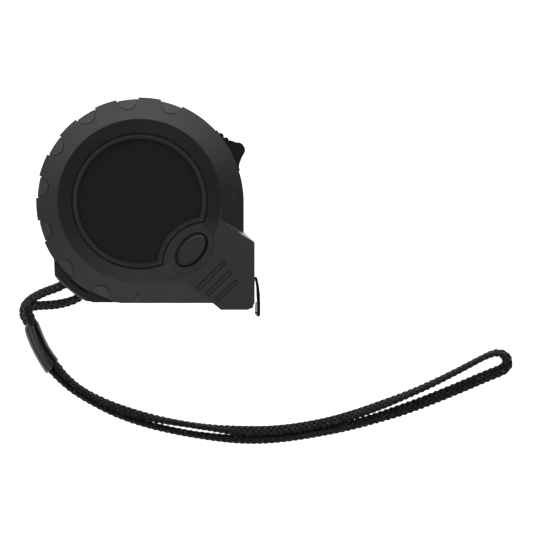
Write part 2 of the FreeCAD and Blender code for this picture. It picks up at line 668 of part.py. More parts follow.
def ring_sector(name, inner, outer, low, high, start, end):
    """Part of a ring about the spool's axis between two angles in degrees."""
    def point(radius, angle):
        x, y = polar(radius, angle)
        return Vector(x, y, low)

    middle = (start + end) / 2
    edges = [
        Part.Arc(point(inner, start), point(inner, middle), point(inner, end)).toShape(),
        Part.LineSegment(point(inner, end), point(outer, end)).toShape(),
        Part.Arc(point(outer, end), point(outer, middle), point(outer, start)).toShape(),
        Part.LineSegment(point(outer, start), point(inner, start)).toShape()]
    sector = doc.addObject("Part::Feature", name)
    sector.Shape = Part.Face(Part.Wire(edges)).extrude(Vector(0, 0, high - low))
    return sector


def make_thumb_lock():
    mid, half = D["mid"], D["lock_wide"] / 2
    plate_low = D["band_radius"] + 0.05
    plate = ring_sector("lock_plate", plate_low, plate_low + D["plate_thick"], mid - half, mid + half,
                        17.6, 43.2)
    bumps = [cylinder(f"lock_bump_{i}", r, "mid - lock_wide / 2", "mid + lock_wide / 2",
                      *[str(v) for v in polar(at, angle)])
             for i, (r, at, angle) in enumerate((("1", 36.2, 39.2), ("1.1", 36.6, 35.6)))]
    tab = prism("lock_tab", [
        ("29.4", "20.6"), ("31.3", "21.4"), ("33.4", "20.7"), ("34.8", "20.6"), ("35.7", "19.9"),
        ("36.5", "18.6"), ("36.5", "17.6"), ("35.2", "15.2"), ("34.5", "13.2"), ("34.3", "11.7"),
        ("33.8", "11.7")], "mid - lock_wide / 2 + 0.6", "mid + lock_wide / 2 - 0.6")
    within = cylinder("lock_tab_under", f"{plate_low}", "0", "50")
    thumb = fuse("lock_thumb", plate, cut("lock_tab_cut", tab, within), *bumps)
    stem = ring_sector("lock_stem", D["arm_high"], plate_low + 0.5, mid - 1.8, mid + 1.8, 26.5, 31.0)
    trimmed = cut("lock_trim", fuse("lock_button_solid", thumb, stem), cylinder(
        "lock_clear", "arm_high", "0", "50"), ring_sector("lock_under", D["arm_high"] - 1, plate_low,
                                                          mid - half - 1, mid - 1.8, 0, 60),
        ring_sector("lock_over", D["arm_high"] - 1, plate_low, mid + 1.8, mid + half + 1, 0, 60),
        ring_sector("lock_ahead", D["arm_high"] - 1, plate_low, mid - 2, mid + 2, 31.0, 60),
        ring_sector("lock_behind", D["arm_high"] - 1, plate_low, mid - 2, mid + 2, 0, 26.5))
    node("lock_button", trimmed)
    arm_half = D["arm_wide"] / 2
    node("lock_arm", ring_sector("lock_arm_bar", D["arm_low"], D["arm_high"], mid - arm_half, mid + arm_half,
                                 -44.0, 32.5))
    node("lock_pad", ring_sector("lock_pad_block", D["arm_low"], D["arm_high"], mid - arm_half, mid + arm_half,
                                 -47.2, -44.0))


# ---------------------------------------------------------------- brake button

def make_brake():
    shift = D["button_shift"]
    x = f"button_x + {shift} * 0.66"
    y = f"button_y - {shift} * 0.75"
    top = "mid + crest_half - 0.7"
    cap = oval("button_cap", "button_long", "button_short", "36.5", top, x, y)
    domed = rounded("button_domed", cap, 1.3, lambda e: e.CenterOfMass.z > value(top) - 0.05)
    flange = oval("button_flange", "button_long + 1.2", "button_short + 1.2", "36.0", "36.95", x, y)
    node("brake_button", fuse("button_solid", domed, flange))
    node("brake_pad", oval("brake_pad_block", "5.0", "2.6", "35.4", "36.0", x, y))
    leaf = oval("leaf_outer", "7.6", "4.9", "35.6", "35.9", x, y)
    gap = oval("leaf_gap", "5.4", "3.1", "35", "37", x, y)
    tongue = doc.addObject("Part::Box", "leaf_tongue")
    tongue.Length, tongue.Width, tongue.Height = 8, 4, 0.3
    turn = Rotation(Vector(0, 0, 1), D["button_turn"])
    foot = Vector(value(x), value(y), 35.6) + turn.multVec(Vector(6.6, -2, 0))
    tongue.Placement = Placement(foot, turn)
    stake = doc.addObject("Part::Box", "leaf_stake")
    stake.Length, stake.Width, stake.Height = 3, 4, 1.1
    stake.Placement = Placement(foot + turn.multVec(Vector(5, 0, 0.3)), turn)
    node("brake_spring", fuse("leaf_solid", cut("leaf_ring", leaf, gap), tongue, stake))


# ---------------------------------------------------------------- wrist strap

# The cord's route from one end inside the ferrule, round the pin, out to the wrist
# loop and back to the ferrule.
STRAP = [
    (-39, -47.6, 2.6), (-40.4, -42.7, 2.9), (-42.4, -39.9, 3.7), (-41.2, -35.5, 6.2),
    (-36.7, -31.2, 10.2), (-27.2, -30.2, 14.2), (-22.9, -25.1, 14.6), (-17.8, -29.2, 14.6),
    (-21.9, -34, 14.2), (-29.7, -36.2, 11.6), (-36.2, -36.4, 8.8), (-40.8, -37.1, 7),
    (-39.8, -40.9, 5.7), (-35, -49.1, 4), (-30.8, -57.3, 3.2), (-27.4, -61.7, 1.9), (-20.9, -66.6, 1.35),
    (-5.1, -73.5, 1.35), (16.4, -78.8, 1.35), (39.9, -81.2, 1.35), (62.4, -78.7, 1.35),
    (81.3, -73, 1.35), (99.2, -66, 1.35), (112.5, -59.4, 1.35), (121.3, -54.6, 1.35),
    (126.3, -52.8, 1.35), (129.6, -55, 1.35), (129.2, -58.8, 1.35), (123.3, -61, 1.35),
    (111, -66.3, 1.35), (95.1, -72.6, 1.35), (79.8, -77.5, 1.35), (62.9, -81.6, 1.35), (39.9, -84, 1.35),
    (15.7, -82, 1.35), (-6.2, -76.3, 1.35), (-22.4, -68.7, 1.35), (-29.4, -63.3, 1.35),
    (-33.3, -58.3, 1.8), (-36.2, -52.8, 2.2), (-38.6, -48.4, 2.5)]


def tube(route, radius):
    """A round bar along the route: straight runs joined by tangent arcs."""
    points = [Vector(*place) for place in route]
    runs = [(b - a).Length for a, b in zip(points, points[1:])]
    edges, at, radii = [], points[0], []
    for i in range(1, len(points) - 1):
        back = (points[i - 1] - points[i]).normalize()
        ahead = (points[i + 1] - points[i]).normalize()
        turn = math.pi - back.getAngle(ahead)
        trim = 0.45 * min(runs[i - 1], runs[i])
        bend = trim / math.tan(turn / 2)
        start, end = points[i] + back * trim, points[i] + ahead * trim
        bisector = (back + ahead).normalize()
        middle = points[i] + bisector * (bend / math.cos(turn / 2) - bend)
        edges += [Part.LineSegment(at, start).toShape(), Part.Arc(start, middle, end).toShape()]
        at = end
        radii.append((round(bend, 1), round(math.degrees(turn))))
    edges.append(Part.LineSegment(at, points[-1]).toShape())
    path = Part.Wire(edges)
    section = Part.Wire(Part.makeCircle(radius, points[0], points[1] - points[0]))
    solid = path.makePipeShell([section], True, False)
    expected = math.pi * radius ** 2 * path.Length
    print("cord radii and turns", radii)
    print("cord length %.1f, volume %.1f of %.1f" % (path.Length, solid.Volume, expected))
    if abs(solid.Volume / expected - 1) > 0.01 or not solid.isValid():
        raise ValueError("the cord's tube is not sound")
    return solid


FERRULE = (Vector(-39.6, -42.6, 3.4), Vector(-31.8, -58.3, 2.8))


def make_strap():
    cord = doc.addObject("Part::Feature", "strap_tube")
    cord.Shape = tube(STRAP, D["cord_radius"])
    node("strap_cord", cord)
    start, end = FERRULE
    axis = end - start
    edge = doc.addObject("Part::Ellipse", "ferrule_edge")
    edge.MajorRadius, edge.MinorRadius = 2.7, 2.6
    edge.Placement = Placement(start, Rotation(Vector(0, 0, 1), axis))
    sleeve = doc.addObject("Part::Extrusion", "ferrule_sleeve")
    sleeve.Base = edge
    sleeve.DirMode = "Custom"
    sleeve.Dir = axis
    sleeve.LengthFwd = axis.Length
    sleeve.Solid = True
    node("strap_ferrule", rounded("ferrule_rounded", sleeve, 0.6, lambda e: True))


# ---------------------------------------------------------------- build, test, write

def sound(shape):
    return not shape.isNull() and shape.isValid()


make_case()
make_label()
make_fasteners()
make_belt_clip()
make_spool()
make_power_spring()
make_blade()
make_hook()
make_mouth_guide()
make_thumb_lock()
make_brake()
make_strap()
doc.recompute()

failed = [item.Name for item in doc.Objects if {"Invalid", "Error"} & set(item.State)]
broken = [name for name, thing in NODES.items() if not sound(thing.Shape)]
if failed or broken:
    raise ValueError(f"failed features {failed}, unsound pieces {broken}")
for name, thing in NODES.items():
    shape = thing.Shape
    print(f"{name:15s} solids {len(shape.Solids)} volume {shape.Volume:9.2f}")
    shape.exportStep(f"parts/{name}.step")
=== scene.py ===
"""Looks of the pocket tape measure: materials, braided strap, floor, light and camera.

Metres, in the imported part's frame: +X out of the blade's mouth, +Y to the top of the
case, +Z from the belt clip to the label side.
"""

import math

import bpy
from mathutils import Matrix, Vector


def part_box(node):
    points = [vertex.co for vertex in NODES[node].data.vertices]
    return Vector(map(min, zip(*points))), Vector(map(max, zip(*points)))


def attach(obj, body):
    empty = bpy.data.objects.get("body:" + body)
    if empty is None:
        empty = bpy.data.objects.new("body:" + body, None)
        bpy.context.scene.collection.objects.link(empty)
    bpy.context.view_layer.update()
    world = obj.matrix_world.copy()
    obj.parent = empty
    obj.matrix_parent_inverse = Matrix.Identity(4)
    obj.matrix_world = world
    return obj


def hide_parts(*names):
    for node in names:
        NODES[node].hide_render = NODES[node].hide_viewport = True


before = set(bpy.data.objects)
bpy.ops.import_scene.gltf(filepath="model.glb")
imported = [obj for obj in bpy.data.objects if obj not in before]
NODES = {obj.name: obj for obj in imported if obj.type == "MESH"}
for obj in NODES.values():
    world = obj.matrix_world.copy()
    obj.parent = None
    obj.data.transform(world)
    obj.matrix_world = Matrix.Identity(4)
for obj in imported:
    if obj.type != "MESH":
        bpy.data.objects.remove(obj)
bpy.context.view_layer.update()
MM = 0.001

# The spool's axis, about which the case is round.
COIL_LOW, COIL_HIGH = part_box("tape_coil")
AXIS = (COIL_LOW + COIL_HIGH) / 2
# Distances from the axis of the dish's outer edge and the label's edge.
DISH_EDGE = 0.0284
LABEL_EDGE = 0.0216
# Painted shade: the colour the rubber takes inside the dish.
DISH_SHADE_COLOUR = (0.003, 0.003, 0.003, 1)
# The raised pod round the button: its centre (from the axis, mm) and its radius.
POD = (23.5, -22.8)
POD_EDGE = 0.0174
# Painted light across the label's lip, from the label's edge outwards: a painted highlight on the crest, then
# painted shade in the groove.
LIP_HIGHLIGHT_AND_SHADE = [(0.1, 0.03), (0.42, 0.036), (0.5, 0.16), (0.56, 0.16), (0.64, 0.03), (0.75, 0.008)]
# The grip slots: their open and closed ends (from the axis, mm) and half width.
SLOTS = (((20.0, -30.8), (29.0, -21.6)), ((23.4, -32.4), (31.1, -25.1)), ((26.2, -34.6), (33.3, -28.2)))
SLOT_HALF = 0.00075
# The hook's side wings lie behind and below these lines; each has a small hole (from the axis, mm).
WING_FRONT = 40.75
WING_TOP = -35.0
WING_HOLE = (40.4, -38.8)
# Radius of the painted shade at each wing's hole.
HOLE_SHADE_RADIUS = 0.42
# Radius of the dark plugs of painted shade in the wings' holes.
SHADE_PLUG_RADIUS = 0.3
HALF_BLADE = 0.0095
# The blade's marks: their spacing, length from the edge and half width.
GRADUATIONS = ((0.001, 0.0026, 0.00011), (0.005, 0.0036, 0.00013), (0.01, 0.0055, 0.00016))
INK = (0.01, 0.01, 0.01, 1)


def at(x, y, z):
    """A point given in millimetres from the spool's axis, with its height above the floor."""
    return Vector((AXIS.x + x * MM, AXIS.y + y * MM, z * MM))


# ------------------------------------------------------------------ shader helpers

def new_material(name):
    material = bpy.data.materials.new(name)
    material.use_nodes = True
    tree = material.node_tree
    shader = tree.nodes["Principled BSDF"]
    return material, tree, shader


def add(tree, kind, **settings):
    made = tree.nodes.new(kind)
    for key, setting in settings.items():
        if key in made.inputs:
            made.inputs[key].default_value = setting
        else:
            setattr(made, key, setting)
    return made


def noise(tree, scale, detail=3.0, roughness=0.5, stretch=None):
    """Noise in object space, so its grain has a real size."""
    place = add(tree, "ShaderNodeTexCoord")
    source = place.outputs["Object"]
    if stretch:
        mapping = add(tree, "ShaderNodeMapping")
        mapping.inputs["Scale"].default_value = stretch
        tree.links.new(source, mapping.inputs["Vector"])
        source = mapping.outputs["Vector"]
    texture = add(tree, "ShaderNodeTexNoise", Scale=scale, Detail=detail, Roughness=roughness)
    tree.links.new(source, texture.inputs["Vector"])
    return texture.outputs["Fac"]


def ramp(tree, source, stops):
    """A colour ramp through (position, grey or colour) stops."""
    made = add(tree, "ShaderNodeValToRGB")
    elements = made.color_ramp.elements
    while len(elements) < len(stops):
        elements.new(0.5)
    for element, (position, colour) in zip(elements, stops):
        element.position = position
        colour = colour if isinstance(colour, tuple) else (colour,) * 3
        element.color = (*colour, 1.0)
    tree.links.new(source, made.inputs["Fac"])
    return made.outputs["Color"]


def bump(tree, shader, source, distance):
    made = add(tree, "ShaderNodeBump", Strength=1.0, Distance=distance)
    tree.links.new(source, made.inputs["Height"])
    tree.links.new(made.outputs["Normal"], shader.inputs["Normal"])


def math_node(tree, kind, first, second=0.0):
    """A sum on two sockets or numbers."""
    made = add(tree, "ShaderNodeMath", operation=kind)
    for socket, source in zip(made.inputs, (first, second)):
        if isinstance(source, (int, float)):
            socket.default_value = source
        else:
            tree.links.new(source, socket)
    return made.outputs[0]


def coordinates(tree, space="Object"):
    """The X, Y and Z of a place."""
    place = add(tree, "ShaderNodeTexCoord")
    axes = add(tree, "ShaderNodeSeparateXYZ")
    tree.links.new(place.outputs[space], axes.inputs["Vector"])
    return axes.outputs


def distance_from(tree, x, y):
    """How far a place in plan is from the upright line through x, y."""
    axes = coordinates(tree)
    squares = []
    for key, centre in (("X", x), ("Y", y)):
        leg = math_node(tree, "ABSOLUTE", math_node(tree, "SUBTRACT", axes[key], centre))
        squares.append(math_node(tree, "POWER", leg, 2.0))
    return math_node(tree, "SQRT", math_node(tree, "ADD", *squares))


def distance_from_run(tree, start, end):
    """How far a place in plan is from a straight run; beyond its open start, very far."""
    start, end = (Vector((AXIS.x + x * MM, AXIS.y + y * MM, 0)) for x, y in (start, end))
    run = end - start
    place = add(tree, "ShaderNodeTexCoord")
    plan = vector_node(tree, "MULTIPLY", place.outputs["Object"], (1, 1, 0)).outputs["Vector"]
    offset = vector_node(tree, "SUBTRACT", plan, tuple(start)).outputs["Vector"]
    along = vector_node(tree, "DOT_PRODUCT", offset, tuple(run.normalized())).outputs["Value"]
    nearest = vector_node(tree, "SCALE", tuple(run.normalized()))
    tree.links.new(math_node(tree, "MINIMUM", along, run.length), nearest.inputs["Scale"])
    away = vector_node(tree, "SUBTRACT", offset, nearest.outputs["Vector"]).outputs["Vector"]
    beyond = math_node(tree, "LESS_THAN", along, 0.0)
    return math_node(tree, "ADD", vector_node(tree, "LENGTH", away).outputs["Value"], beyond)


def vector_node(tree, kind, *sources):
    """A sum on sockets or fixed vectors."""
    made = add(tree, "ShaderNodeVectorMath", operation=kind)
    for socket, source in zip(made.inputs, sources):
        if isinstance(source, tuple):
            socket.default_value = source
        else:
            tree.links.new(source, socket)
    return made


def mapped(tree, source, low, high):
    """The source with low taken to 0 and high to 1."""
    made = add(tree, "ShaderNodeMapRange", clamp=True)
    tree.links.new(source, made.inputs["Value"])
    for key, number in (("From Min", low), ("From Max", high), ("To Min", 0.0), ("To Max", 1.0)):
        made.inputs[key].default_value = number
    return made.outputs["Result"]


def mixed(tree, factor, first, second):
    """The first colour where the factor is 0 and the second where it is 1."""
    made = add(tree, "ShaderNodeMix", data_type="RGBA")
    tree.links.new(factor, made.inputs["Factor"])
    for socket, source in ((made.inputs[6], first), (made.inputs[7], second)):
        if isinstance(source, tuple):
            socket.default_value = source
        else:
            tree.links.new(source, socket)
    return made.outputs[2]


def from_pod(tree):
    """How far a place in plan is from the pod's centre."""
    return distance_from(tree, AXIS.x + POD[0] * MM, AXIS.y + POD[1] * MM)


def moulded(name, colour, roughness, spread=0.08, grain=9000, depth=0.00003, blotch=120):
    """Moulded plastic or rubber: fine grain, soft blotches in colour and gloss."""
    material, tree, shader = new_material(name)
    low = tuple(c * (1 - spread) for c in colour)
    high = tuple(c * (1 + spread) for c in colour)
    cloud = noise(tree, blotch, 4.0)
    tree.links.new(ramp(tree, cloud, [(0.3, low), (0.7, high)]), shader.inputs["Base Color"])
    gloss = ramp(tree, noise(tree, blotch * 3, 5.0), [(0.3, roughness - 0.06), (0.7, roughness + 0.06)])
    tree.links.new(gloss, shader.inputs["Roughness"])
    bump(tree, shader, noise(tree, grain, 2.0, 0.6), depth)
    return material


# ------------------------------------------------------------------ materials

def grip_rubber():
    """Matt black rubber with a fine moulded grain, darkened by painted shade inside the dish and along the
    foot of the slots' walls.
    """
    material = moulded("grip_rubber", (0.014, 0.014, 0.0143), 0.35, 0.1, 7000, 0.00002, 90)
    tree = material.node_tree
    shader = tree.nodes["Principled BSDF"]
    outer = mapped(tree, distance_from(tree, AXIS.x, AXIS.y), DISH_EDGE - 0.5 * MM, DISH_EDGE + 0.3 * MM)
    pod = mapped(tree, from_pod(tree), POD_EDGE, POD_EDGE - 7 * MM)
    grip = math_node(tree, "MAXIMUM", outer, pod)
    rubber = shader.inputs["Base Color"].links[0].from_socket
    rough = shader.inputs["Roughness"].links[0].from_socket
    # Painted shade: inside the dish, away from the pod, the rubber takes the dark dish colour.
    shade = mixed(tree, grip, DISH_SHADE_COLOUR, rubber)
    lines = slot_wall_shade(tree)
    # Painted shade: black along the foot of the slots' walls.
    tree.links.new(mixed(tree, lines, (0.0, 0.0, 0.0, 1), shade), shader.inputs["Base Color"])
    tree.links.new(mixed(tree, lines, (1, 1, 1, 1), rough), shader.inputs["Roughness"])
    return material


def slot_wall_shade(tree):
    """0 along the foot of the slots' walls, where shade is painted, and 1 elsewhere."""
    nearest = None
    for start, end in SLOTS:
        past_wall = math_node(tree, "SUBTRACT", distance_from_run(tree, start, end), SLOT_HALF)
        off_wall = math_node(tree, "ABSOLUTE", past_wall)
        nearest = off_wall if nearest is None else math_node(tree, "MINIMUM", nearest, off_wall)
    return mapped(tree, nearest, 0.02 * MM, 0.2 * MM)


def button_rubber():
    return moulded("button_rubber", (0.012, 0.012, 0.0123), 0.44, 0.06, 8000, 0.00001, 150)


def case_plastic():
    """Smooth hard plastic, a trace warmer than the rubber."""
    material = moulded("case_plastic", (0.005, 0.005, 0.0044), 0.3, 0.06, 5000, 0.000006, 60)
    material.node_tree.nodes["Principled BSDF"].inputs["Specular IOR Level"].default_value = 0.42
    return material


def frame_plastic():
    """The label's lip: a painted highlight on its crest with painted shade in the groove outside it."""
    material = moulded("frame_plastic", (0.01, 0.01, 0.01), 0.35, 0.05, 6000, 0.000006, 80)
    tree = material.node_tree
    shader = tree.nodes["Principled BSDF"]
    round_label = math_node(tree, "SUBTRACT", distance_from(tree, AXIS.x, AXIS.y), LABEL_EDGE)
    round_pod = math_node(tree, "SUBTRACT", POD_EDGE, from_pod(tree))
    outward = mapped(tree, math_node(tree, "MAXIMUM", round_label, round_pod), -0.2 * MM, 2.2 * MM)
    # Painted highlight on the lip's crest and painted shade in its groove.
    shade = ramp(tree, outward, LIP_HIGHLIGHT_AND_SHADE)
    tree.links.new(shade, shader.inputs["Base Color"])
    shader.inputs["Specular IOR Level"].default_value = 0.1
    return material


def lock_plastic():
    material = moulded("lock_plastic", (0.006, 0.006, 0.0055), 0.4, 0.06, 6000, 0.000008, 100)
    material.node_tree.nodes["Principled BSDF"].inputs["Specular IOR Level"].default_value = 0.22
    return material


def label_film():
    """A matt printed film with a fine speckle."""
    material, tree, shader = new_material("label_film")
    speck = noise(tree, 1500, 6.0, 0.8)
    tree.links.new(ramp(tree, speck, [(0.36, 0.002), (0.56, 0.008), (0.68, 0.02)]),
                   shader.inputs["Base Color"])
    tree.links.new(ramp(tree, speck, [(0.35, 0.62), (0.65, 0.8)]), shader.inputs["Roughness"])
    shader.inputs["Specular IOR Level"].default_value = 0.3
    bump(tree, shader, speck, 0.00004)
    return material


def brushed(name, colour, roughness, stretch=(40, 900, 900), depth=0.000004):
    """Metal with fine scratches along one way."""
    material, tree, shader = new_material(name)
    shader.inputs["Metallic"].default_value = 1.0
    lines = noise(tree, 30, 4.0, 0.6, stretch)
    low, high = (tuple(c * k for c in colour) for k in (0.85, 1.05))
    tree.links.new(ramp(tree, lines, [(0.3, low), (0.7, high)]), shader.inputs["Base Color"])
    tree.links.new(ramp(tree, lines, [(0.3, roughness - 0.07), (0.7, roughness + 0.07)]),
                   shader.inputs["Roughness"])
    bump(tree, shader, lines, depth)
    return material


def tape_enamel():
    """Yellow enamel with black graduations every millimetre, longer at five and ten."""
    material, tree, shader = new_material("tape_enamel")
    axes = coordinates(tree)
    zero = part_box("tape_blade")[1].x
    along = math_node(tree, "SUBTRACT", zero, axes["X"])
    across = math_node(tree, "ABSOLUTE", math_node(tree, "SUBTRACT", axes["Z"], AXIS.z))
    edge = math_node(tree, "SUBTRACT", HALF_BLADE, across)
    ink = None
    for step, reach, half in GRADUATIONS:
        part = math_node(tree, "FRACT", math_node(tree, "DIVIDE", along, step))
        phase = math_node(tree, "ABSOLUTE", math_node(tree, "SUBTRACT", part, 0.5))
        line = math_node(tree, "GREATER_THAN", phase, 0.5 - half / step)
        tick = math_node(tree, "MULTIPLY", line, math_node(tree, "LESS_THAN", edge, reach))
        ink = tick if ink is None else math_node(tree, "MAXIMUM", ink, tick)
    cloud = noise(tree, 300, 3.0)
    paint = ramp(tree, cloud, [(0.3, (0.78, 0.55, 0.02)), (0.7, (0.86, 0.62, 0.03))])
    tree.links.new(mixed(tree, ink, paint, INK), shader.inputs["Base Color"])
    tree.links.new(ramp(tree, cloud, [(0.3, 0.28), (0.7, 0.4)]), shader.inputs["Roughness"])
    shader.inputs["Coat Weight"].default_value = 0.3
    return material


def hook_steel():
    """Blackened steel whose folded side wings are worn bright, with painted shade at each wing's hole."""
    material, tree, shader = new_material("hook_steel")
    shader.inputs["Metallic"].default_value = 1.0
    axes = coordinates(tree)
    inward = math_node(tree, "LESS_THAN", axes["X"], AXIS.x + WING_FRONT * MM)
    low = math_node(tree, "LESS_THAN", axes["Y"], AXIS.y + WING_TOP * MM)
    off_hole = distance_from(tree, AXIS.x + WING_HOLE[0] * MM, AXIS.y + WING_HOLE[1] * MM)
    # Painted shade: at each wing's hole the wing keeps the dark colour.
    clear_of_hole_shade = math_node(tree, "GREATER_THAN", off_hole, HOLE_SHADE_RADIUS * MM)
    wing = math_node(tree, "MULTIPLY", math_node(tree, "MULTIPLY", inward, low), clear_of_hole_shade)
    lines = noise(tree, 30, 4.0, 0.6, (900, 40, 900))
    tree.links.new(ramp(tree, wing, [(0.0, (0.012, 0.012, 0.011)), (1.0, (0.42, 0.42, 0.4))]),
                   shader.inputs["Base Color"])
    tree.links.new(ramp(tree, lines, [(0.3, 0.26), (0.7, 0.4)]), shader.inputs["Roughness"])
    bump(tree, shader, lines, 0.000004)
    return material


# Yarn colours: painted shade deep between the fibres, the yarn's black, then pale specks painted as glints on
# the stitches.
YARN_SHADE_AND_GLINTS = [(0.18, (0.001, 0.001, 0.0008)), (0.31, (0.009, 0.0088, 0.0072)), (0.4, (0.13, 0.128, 0.115))]


def cord_nylon():
    """Black nylon yarn: fine fibres, pale specks on some stitches painted as glints of light, and a soft
    sheen.
    """
    material, tree, shader = new_material("cord_nylon")
    fibre = noise(tree, 5200, 5.0, 0.7)
    stitch = noise(tree, 1100, 2.0, 0.6)
    # Painted shade between the fibres and painted glints on the stitches.
    fibre_shade_and_glints = ramp(tree, math_node(tree, "MULTIPLY", fibre, stitch), YARN_SHADE_AND_GLINTS)
    tree.links.new(fibre_shade_and_glints, shader.inputs["Base Color"])
    tree.links.new(ramp(tree, stitch, [(0.3, 0.55), (0.7, 0.8)]), shader.inputs["Roughness"])
    shader.inputs["Sheen Weight"].default_value = 0.02
    shader.inputs["Specular IOR Level"].default_value = 0.32
    shader.inputs["Sheen Roughness"].default_value = 0.4
    bump(tree, shader, fibre, 0.00012)
    return material


def ferrule_pvc():
    """Glossy black PVC with slight waviness and scuffs."""
    material, tree, shader = new_material("ferrule_pvc")
    wave = noise(tree, 260, 2.0)
    scuff = noise(tree, 2400, 6.0, 0.7)
    tree.links.new(ramp(tree, scuff, [(0.35, 0.004), (0.8, 0.012)]), shader.inputs["Base Color"])
    shader.inputs["Specular IOR Level"].default_value = 1.0
    tree.links.new(ramp(tree, scuff, [(0.35, 0.16), (0.8, 0.28)]), shader.inputs["Roughness"])
    bump(tree, shader, wave, 0.0002)
    return material


def assign(material, *names):
    """Gives a CAD node its finish; the node itself stays as it is."""
    for name in names:
        slots = NODES[name].data.materials
        slots.clear()
        slots.append(material)


def soften(width, *names):
    """Rounds a CAD node's sharp edges by a small width in millimetres."""
    for name in names:
        edge = NODES[name].modifiers.new("rounded_edges", "BEVEL")
        edge.width = width * MM
        edge.segments = 3
        edge.limit_method = "ANGLE"
        edge.angle_limit = math.radians(24)
        edge.harden_normals = True
        edge.use_clamp_overlap = True


def dress_cad():
    assign(grip_rubber(), "front_grip", "rear_grip", "lock_pad", "brake_pad")
    assign(button_rubber(), "brake_button")
    assign(case_plastic(), "front_shell", "rear_shell")
    assign(frame_plastic(), "label_frame")
    assign(label_film(), "label_disc")
    assign(lock_plastic(), "lock_button", "lock_arm")
    bright = brushed("bright_zinc", (0.62, 0.62, 0.6), 0.3)
    assign(bright, "case_screws", "clip_screw", "strap_pin", "spring_axle")
    assign(hook_steel(), "end_hook")
    assign(bright, "hook_rivets")
    assign(brushed("clip_steel", (0.09, 0.09, 0.092), 0.38, (900, 40, 900)), "belt_clip")
    assign(brushed("spring_steel", (0.3, 0.32, 0.38), 0.3, (900, 900, 40)), "power_spring", "brake_spring")
    assign(tape_enamel(), "tape_blade", "tape_coil")
    acetal = moulded("acetal", (0.55, 0.54, 0.5), 0.4, 0.04)
    assign(acetal, "spool", "spool_cover", "front_washer", "rear_washer", "mouth_guide")
    soften(0.15, "front_grip", "rear_grip")
    soften(0.3, "brake_button", "lock_button", "front_shell", "rear_shell")
    soften(0.15, "label_frame", "label_disc", "end_hook", "belt_clip", "lock_pad")


# ------------------------------------------------------------------ wrist strap

# The cord's route, one end inside the ferrule to the other, in millimetres from the
# spool's axis, with how far the flat braid leans from lying flat, in degrees.
STRAP = [
    (-39, -47.6, 2.6, 52), (-40.4, -42.7, 2.9, 52), (-42.4, -39.9, 3.7, 52), (-41.5, -35.7, 6.4, 52),
    (-36.1, -32.2, 10.2, 52), (-27.5, -29.4, 14, 52), (-22.9, -25.1, 14.6, 60), (-17.8, -29.2, 14.6, 60),
    (-21.9, -34, 14.2, 60), (-29.7, -36.2, 11.6, 52), (-36.2, -36.4, 8.8, 52), (-40.8, -37.1, 7, 52),
    (-39.8, -40.9, 5, 52), (-35.7, -49.4, 3.2, 52), (-30.8, -57.3, 3.1, 70), (-27.4, -61.7, 2.6, 78),
    (-20.9, -67.3, 2.5, 75), (-5.1, -74.8, 2.6, 52), (16.4, -79, 2.17, 87), (39.9, -81.7, 1.63, 40),
    (62.4, -79.2, 1.56, 36), (81.3, -73.2, 1.85, 52), (99.2, -66, 2.08, 70), (112.5, -59.4, 2.16, 80),
    (121.3, -54.6, 2.17, 84), (126.3, -52.8, 2.08, 70), (129.6, -55, 1.63, 40), (129.2, -58.8, 1.19, 15),
    (123.3, -61, 1.1, 6), (111, -66.3, 1.1, 6), (95.1, -72.6, 1.13, -10), (79.8, -77.5, 1.59, -38),
    (62.9, -81.8, 1.97, -60), (39.9, -84.7, 1.89, -55), (15.7, -82.2, 2.1, -74), (-6.2, -76.7, 2.12, -74),
    (-22.4, -68.4, 2.15, -78), (-29.4, -62.6, 2.1, -72), (-33.3, -58, 2, -60),
    (-36.2, -52.8, 2.2, -40), (-38.6, -48.4, 2.5, -40)
]
FERRULE_TOP = at(-39.6, -42.6, 3.7)
FERRULE_END = at(-31.8, -58.3, 2.9)
# Half width and half thickness of the flat braid.
BRAID_HALF = (0.0021, 0.00105)
# How far a plait rises where it passes over another.
WEAVE = 0.00018
CORE_INSET = 0.0006
# Spacing of the points along the braid, its core and the route.
BRAID_STEP = 0.0004
CORE_STEP = 0.0012
PATH_STEP = 0.001
# The ferrule squeezes what is nearer its axis than the reach, fully past the run from its ends.
SQUEEZE = 0.58
SQUEEZE_REACH = 0.0035
SQUEEZE_RUN = 0.0012


def spline_points():
    """Closely spaced points along the route's smooth line."""
    curve = bpy.data.curves.new("strap_route", "CURVE")
    curve.dimensions = "3D"
    curve.resolution_u = 24
    spline = curve.splines.new("NURBS")
    spline.points.add(len(STRAP) - 1)
    for point, (x, y, z, _) in zip(spline.points, STRAP):
        point.co = (*at(x, y, z), 1.0)
    spline.order_u = 3
    spline.use_endpoint_u = True
    holder = bpy.data.objects.new("strap_route", curve)
    mesh = bpy.data.meshes.new_from_object(holder)
    points = [vertex.co.copy() for vertex in mesh.vertices]
    bpy.data.meshes.remove(mesh)
    bpy.data.objects.remove(holder)
    return points


def lengths(points):
    total = [0.0]
    for a, b in zip(points, points[1:]):
        total.append(total[-1] + (b - a).length)
    return total


def evenly(points, step):
    """The same line with points a step apart."""
    total = lengths(points)
    count = max(2, round(total[-1] / step))
    made, i = [], 0
    for n in range(count + 1):
        want = total[-1] * n / count
        while i < len(total) - 2 and total[i + 1] < want:
            i += 1
        span = total[i + 1] - total[i]
        made.append(points[i].lerp(points[i + 1], (want - total[i]) / span if span else 0.0))
    return made


